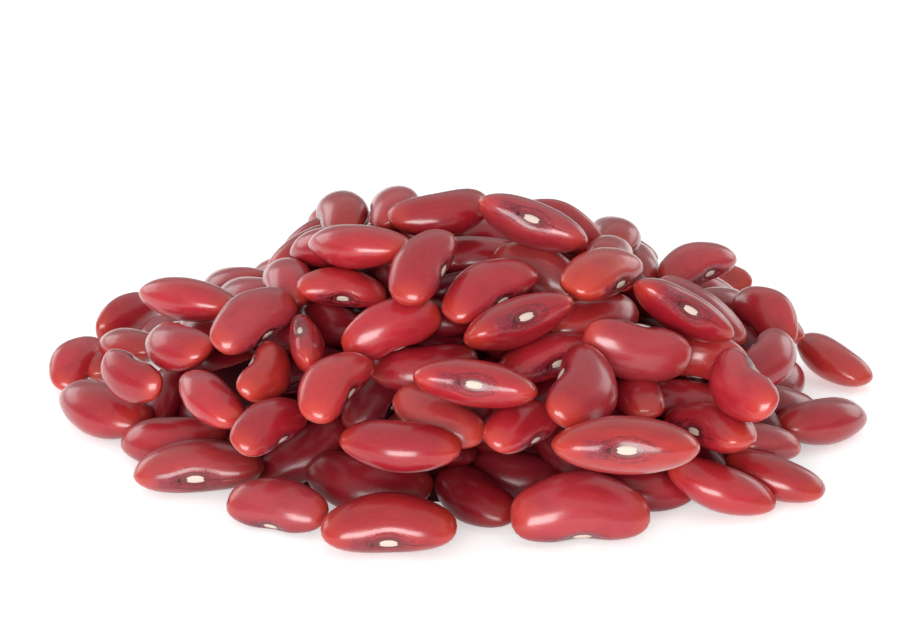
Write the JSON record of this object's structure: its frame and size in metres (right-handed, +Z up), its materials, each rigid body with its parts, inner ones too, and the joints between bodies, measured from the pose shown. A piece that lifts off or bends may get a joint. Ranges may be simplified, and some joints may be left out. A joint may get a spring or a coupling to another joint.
{
  "type": "heap of dried kidney beans",
  "caption": "Low free-standing mound of loose dark red kidney-shaped beans with an uneven outline, resting on a flat surface with no dish",
  "frame": {"origin": "middle of the heap's footprint, on the surface that it lies on", "axes": "+X to the right as the picture shows the heap, +Y away from the viewer, +Z up"},
  "size_m": [0.1086, 0.103, 0.0326],
  "materials": {
    "bean_skin": "smooth glossy seed coat, crimson to dark brick red, with a small cream eye on each bean; stands in for dried bean skin"
  },
  "bodies": {
    "root": {"bean_heap": "bean_skin"}
  },
  "joints": []
}
